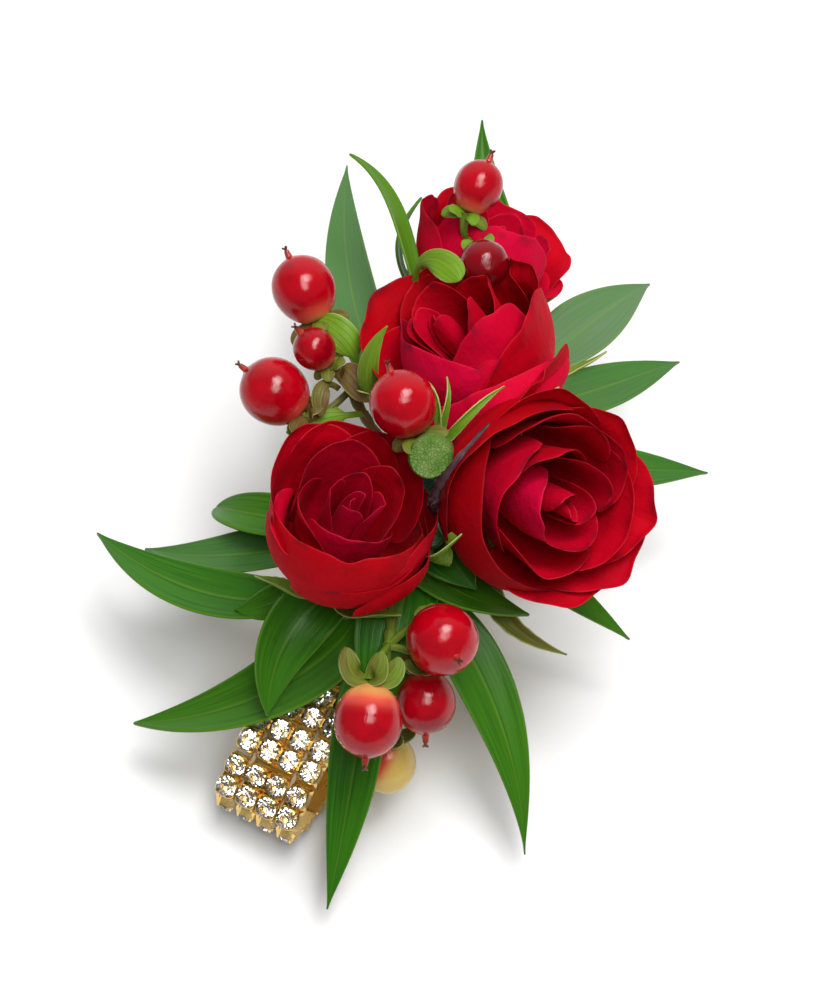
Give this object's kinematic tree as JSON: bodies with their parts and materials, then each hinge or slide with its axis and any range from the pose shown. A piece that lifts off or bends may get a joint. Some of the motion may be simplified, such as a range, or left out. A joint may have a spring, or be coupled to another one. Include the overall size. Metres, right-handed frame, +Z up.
{
  "type": "wrist corsage",
  "caption": "Wrist corsage: red spray roses, glossy hypericum berries and ruscus leaves on a plate carried by a stretch bracelet of crystal-set gold links.",
  "frame": {"origin": "on the surface that the corsage stands on, under the middle of its bounding box", "axes": "+X along the long side of the flattened bracelet towards the far roses, +Y along the wrist towards the sprig of berries on the left flank, +Z up through the flowers"},
  "size_m": [0.1298, 0.0878, 0.0727],
  "materials": {
    "gold": "polished",
    "crystal": "polished",
    "elastic": "satin",
    "floral_tape": "matte",
    "rose_petal": "matte",
    "rose_green": "satin",
    "hypericum_green": "satin",
    "berry_skin": "gloss",
    "ruscus_leaf": "satin"
  },
  "bodies": {
    "spray": {"flower_plate": "gold", "elastic_cord_left": "elastic", "elastic_cord_right": "elastic", "stem_pad": "floral_tape", "rose_right_bloom": "rose_petal", "rose_right_calyx": "rose_green", "rose_front_bloom": "rose_petal", "rose_front_calyx": "rose_green", "rose_middle_bloom": "rose_petal", "rose_middle_calyx": "rose_green", "rose_far_bloom": "rose_petal", "rose_far_calyx": "rose_green", "hypericum_stem_left": "hypericum_green", "berry_left_top": "berry_skin", "berry_left_small": "berry_skin", "berry_left_low": "berry_skin", "berry_centre": "berry_skin", "hypericum_stem_far": "hypericum_green", "berry_far_top": "berry_skin", "berry_far_low": "berry_skin", "hypericum_stem_front": "hypericum_green", "berry_front_right": "berry_skin", "berry_front_left": "berry_skin", "berry_front_middle": "berry_skin", "berry_front_pale": "berry_skin", "leaf_left_long": "ruscus_leaf", "leaf_left_back": "ruscus_leaf", "leaf_left_round": "ruscus_leaf", "leaf_front_short": "ruscus_leaf", "leaf_front_left": "ruscus_leaf", "leaf_front_down": "ruscus_leaf", "leaf_front_right": "ruscus_leaf", "leaf_under_roses": "ruscus_leaf", "leaf_right_low": "ruscus_leaf", "leaf_right_middle": "ruscus_leaf", "leaf_right_upper": "ruscus_leaf", "leaf_right_top": "ruscus_leaf", "leaf_far_tip": "ruscus_leaf", "leaf_far_left": "ruscus_leaf", "leaf_far_curled": "ruscus_leaf"},
    "link_01": {"band_link_01": "gold"},
    "link_02": {"band_link_02": "gold"},
    "link_03": {"band_link_03": "gold"},
    "link_04": {"band_link_04": "gold"},
    "link_05": {"band_link_05": "gold"},
    "link_06": {"band_link_06": "gold"},
    "link_07": {"band_link_07": "gold"},
    "link_08": {"band_link_08": "gold"},
    "link_09": {"band_link_09": "gold"},
    "link_10": {"band_link_10": "gold"},
    "link_11": {"band_link_11": "gold"},
    "link_12": {"band_link_12": "gold"},
    "link_13": {"band_link_13": "gold"},
    "link_14": {"band_link_14": "gold"},
    "link_15": {"band_link_15": "gold"},
    "link_16": {"band_link_16": "gold"},
    "link_17": {"band_link_17": "gold"},
    "link_18": {"band_link_18": "gold"},
    "link_19": {"band_link_19": "gold"},
    "link_20": {"band_link_20": "gold"}
  },
  "joints": [
    {"name": "band_stretch", "type": "slide", "parent": "spray", "child": "link_07", "axis": [0, 0, -1], "range_m": [0, 0.00944], "stiffness_N_per_m": 120, "deforming": ["elastic_cord_left", "elastic_cord_right"]},
    {"name": "follow_link_01", "type": "slide", "parent": "spray", "child": "link_01", "axis": [0.9576, 0, -0.2879], "range_m": [0, 0.00329]},
    {"name": "follow_link_02", "type": "slide", "parent": "spray", "child": "link_02", "axis": [0.8169, 0, -0.5768], "range_m": [0, 0.00494]},
    {"name": "follow_link_03", "type": "slide", "parent": "spray", "child": "link_03", "axis": [0.5923, 0, -0.8057], "range_m": [0, 0.00713]},
    {"name": "follow_link_04", "type": "slide", "parent": "spray", "child": "link_04", "axis": [0.401, 0, -0.9161], "range_m": [0, 0.009]},
    {"name": "follow_link_05", "type": "slide", "parent": "spray", "child": "link_05", "axis": [0.2584, 0, -0.966], "range_m": [0, 0.00966]},
    {"name": "follow_link_06", "type": "slide", "parent": "spray", "child": "link_06", "axis": [0.1311, 0, -0.9914], "range_m": [0, 0.00953]},
    {"name": "follow_link_08", "type": "slide", "parent": "spray", "child": "link_08", "axis": [-0.1311, 0, -0.9914], "range_m": [0, 0.00953]},
    {"name": "follow_link_09", "type": "slide", "parent": "spray", "child": "link_09", "axis": [-0.2556, 0, -0.9668], "range_m": [0, 0.00977]},
    {"name": "follow_link_10", "type": "slide", "parent": "spray", "child": "link_10", "axis": [-0.3687, 0, -0.9296], "range_m": [0, 0.01017]},
    {"name": "follow_link_11", "type": "slide", "parent": "spray", "child": "link_11", "axis": [-0.4675, 0, -0.884], "range_m": [0, 0.01069]},
    {"name": "follow_link_12", "type": "slide", "parent": "spray", "child": "link_12", "axis": [-0.5514, 0, -0.8342], "range_m": [0, 0.01133]},
    {"name": "follow_link_13", "type": "slide", "parent": "spray", "child": "link_13", "axis": [-0.6215, 0, -0.7835], "range_m": [0, 0.01206]},
    {"name": "follow_link_14", "type": "slide", "parent": "spray", "child": "link_14", "axis": [-0.7112, 0, -0.703], "range_m": [0, 0.01212]},
    {"name": "follow_link_15", "type": "slide", "parent": "spray", "child": "link_15", "axis": [-0.7905, 0, -0.6124], "range_m": [0, 0.0109]},
    {"name": "follow_link_16", "type": "slide", "parent": "spray", "child": "link_16", "axis": [-0.8217, 0, -0.57], "range_m": [0, 0.00916]},
    {"name": "follow_link_17", "type": "slide", "parent": "spray", "child": "link_17", "axis": [-0.8374, 0, -0.5466], "range_m": [0, 0.00759]},
    {"name": "follow_link_18", "type": "slide", "parent": "spray", "child": "link_18", "axis": [-0.8598, 0, -0.5106], "range_m": [0, 0.00603]},
    {"name": "follow_link_19", "type": "slide", "parent": "spray", "child": "link_19", "axis": [-0.8942, 0, -0.4476], "range_m": [0, 0.00449]},
    {"name": "follow_link_20", "type": "slide", "parent": "spray", "child": "link_20", "axis": [-0.9496, 0, -0.3134], "range_m": [0, 0.00299]}
  ],
  "couplings": [
    {"joint": "follow_link_01", "follows": "band_stretch", "ratio": 0.34714},
    {"joint": "follow_link_02", "follows": "band_stretch", "ratio": 0.52259},
    {"joint": "follow_link_03", "follows": "band_stretch", "ratio": 0.75385},
    {"joint": "follow_link_04", "follows": "band_stretch", "ratio": 0.95234},
    {"joint": "follow_link_05", "follows": "band_stretch", "ratio": 1.0224},
    {"joint": "follow_link_06", "follows": "band_stretch", "ratio": 1.0086},
    {"joint": "follow_link_08", "follows": "band_stretch", "ratio": 1.0087},
    {"joint": "follow_link_09", "follows": "band_stretch", "ratio": 1.0344},
    {"joint": "follow_link_10", "follows": "band_stretch", "ratio": 1.0758},
    {"joint": "follow_link_11", "follows": "band_stretch", "ratio": 1.1312},
    {"joint": "follow_link_12", "follows": "band_stretch", "ratio": 1.1987},
    {"joint": "follow_link_13", "follows": "band_stretch", "ratio": 1.2764},
    {"joint": "follow_link_14", "follows": "band_stretch", "ratio": 1.283},
    {"joint": "follow_link_15", "follows": "band_stretch", "ratio": 1.154},
    {"joint": "follow_link_16", "follows": "band_stretch", "ratio": 0.96961},
    {"joint": "follow_link_17", "follows": "band_stretch", "ratio": 0.80316},
    {"joint": "follow_link_18", "follows": "band_stretch", "ratio": 0.63778},
    {"joint": "follow_link_19", "follows": "band_stretch", "ratio": 0.47435},
    {"joint": "follow_link_20", "follows": "band_stretch", "ratio": 0.31596}
  ]
}
